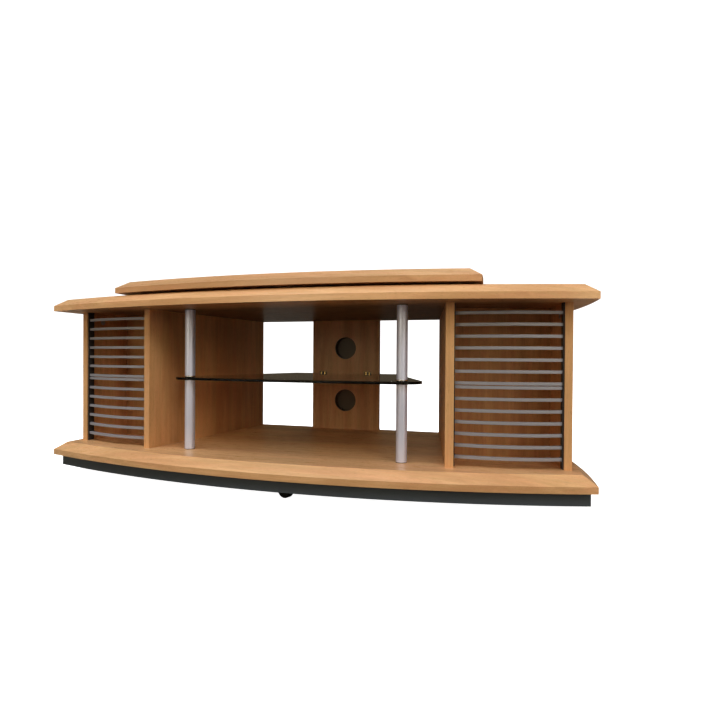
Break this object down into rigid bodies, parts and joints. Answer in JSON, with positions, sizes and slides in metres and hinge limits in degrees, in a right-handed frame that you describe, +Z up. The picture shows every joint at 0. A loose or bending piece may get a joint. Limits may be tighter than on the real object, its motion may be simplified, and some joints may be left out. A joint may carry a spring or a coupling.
{
  "type": "tv cabinet",
  "caption": "Low corner tv cabinet with a bowed front, a swivelling top board, a smoked glass shelf on posts, open slatted media racks and castors.",
  "frame": {"origin": "on the floor, under the middle of the whole cabinet's bounding box", "axes": "+X to the right as seen from the front, +Y to the back, +Z up"},
  "size_m": [1.336, 0.59, 0.504],
  "materials": {
    "beech": "satin beech-effect foil on board",
    "anthracite": "matt anthracite foil on board",
    "raw_wood": "bare beech",
    "black_plastic": "moulded black, satin",
    "smoked_glass": "tinted toughened glass, polished edge",
    "silver_tube": "satin silver lacquer",
    "bright_collar": "polished",
    "silver_plastic": "silver-grey moulded plastic",
    "brass": "polished",
    "steel": "zinc plated"
  },
  "bodies": {
    "cabinet": {"base_board": "beech", "top_board": "beech", "outer_panel_left": "beech", "outer_panel_right": "beech", "divider_left": "beech", "divider_right": "beech", "rack_back_left": "beech", "rack_back_right": "beech", "spine_panel": "beech", "plinth_front": "anthracite", "plinth_end_left": "anthracite", "plinth_end_right": "anthracite", "plinth_blocks": "raw_wood", "cable_caps": "black_plastic", "glass_shelf": "smoked_glass", "post_lower_left": "silver_tube", "post_lower_right": "silver_tube", "post_upper_left": "silver_tube", "post_upper_right": "silver_tube", "post_rods": "steel", "post_pads": "black_plastic", "glass_washers": "black_plastic", "post_collars": "bright_collar", "shelf_clips": "black_plastic", "clip_screws": "brass", "slats_left_upper": "silver_plastic", "slats_left_lower": "silver_plastic", "slats_right_upper": "silver_plastic", "slats_right_lower": "silver_plastic", "rails_left": "black_plastic", "rails_right": "black_plastic", "race_lower": "steel", "pivot_pin": "steel", "race_screws_lower": "steel", "castor_plates": "steel", "castor_screws": "steel", "dowels": "raw_wood", "cam_housings": "steel", "cam_bolts": "steel"},
    "swivel_top": {"swivel_board": "beech", "race_upper": "steel", "race_screws_upper": "steel", "pivot_bush": "black_plastic"},
    "ball_ring": {"ball_ring": "steel"},
    "fork_front": {"castor_fork_front": "steel", "castor_axle_front": "steel"},
    "wheel_front": {"castor_wheel_front": "black_plastic"},
    "fork_front_left": {"castor_fork_front_left": "steel", "castor_axle_front_left": "steel"},
    "wheel_front_left": {"castor_wheel_front_left": "black_plastic"},
    "fork_front_right": {"castor_fork_front_right": "steel", "castor_axle_front_right": "steel"},
    "wheel_front_right": {"castor_wheel_front_right": "black_plastic"},
    "fork_rear_left": {"castor_fork_rear_left": "steel", "castor_axle_rear_left": "steel"},
    "wheel_rear_left": {"castor_wheel_rear_left": "black_plastic"},
    "fork_rear_right": {"castor_fork_rear_right": "steel", "castor_axle_rear_right": "steel"},
    "wheel_rear_right": {"castor_wheel_rear_right": "black_plastic"}
  },
  "joints": [
    {"name": "top_swivel", "type": "hinge", "parent": "cabinet", "child": "swivel_top", "pos_m": [0, -0.083, 0.468], "axis": [0, 0, 1], "continuous": true},
    {"name": "ball_ring_roll", "type": "hinge", "parent": "cabinet", "child": "ball_ring", "pos_m": [0, -0.083, 0.468], "axis": [0, 0, 1], "continuous": true},
    {"name": "castor_front_swivel", "type": "hinge", "parent": "cabinet", "child": "fork_front", "pos_m": [0, -0.219, 0.054], "axis": [0, 0, 1], "continuous": true},
    {"name": "castor_front_roll", "type": "hinge", "parent": "fork_front", "child": "wheel_front", "pos_m": [0.01504, -0.22447, 0.02], "axis": [0.342, 0.9397, 0], "continuous": true},
    {"name": "castor_front_left_swivel", "type": "hinge", "parent": "cabinet", "child": "fork_front_left", "pos_m": [-0.54, -0.07998, 0.054], "axis": [0, 0, 1], "continuous": true},
    {"name": "castor_front_left_roll", "type": "hinge", "parent": "fork_front_left", "child": "wheel_front_left", "pos_m": [-0.52496, -0.08546, 0.02], "axis": [0.342, 0.9397, 0], "continuous": true},
    {"name": "castor_front_right_swivel", "type": "hinge", "parent": "cabinet", "child": "fork_front_right", "pos_m": [0.54, -0.07998, 0.054], "axis": [0, 0, 1], "continuous": true},
    {"name": "castor_front_right_roll", "type": "hinge", "parent": "fork_front_right", "child": "wheel_front_right", "pos_m": [0.55504, -0.08546, 0.02], "axis": [0.342, 0.9397, 0], "continuous": true},
    {"name": "castor_rear_left_swivel", "type": "hinge", "parent": "cabinet", "child": "fork_rear_left", "pos_m": [-0.3, 0.24, 0.054], "axis": [0, 0, 1], "continuous": true},
    {"name": "castor_rear_left_roll", "type": "hinge", "parent": "fork_rear_left", "child": "wheel_rear_left", "pos_m": [-0.28496, 0.23453, 0.02], "axis": [0.342, 0.9397, 0], "continuous": true},
    {"name": "castor_rear_right_swivel", "type": "hinge", "parent": "cabinet", "child": "fork_rear_right", "pos_m": [0.3, 0.24, 0.054], "axis": [0, 0, 1], "continuous": true},
    {"name": "castor_rear_right_roll", "type": "hinge", "parent": "fork_rear_right", "child": "wheel_rear_right", "pos_m": [0.31504, 0.23453, 0.02], "axis": [0.342, 0.9397, 0], "continuous": true}
  ],
  "couplings": [
    {"joint": "ball_ring_roll", "follows": "top_swivel", "ratio": 0.5}
  ]
}
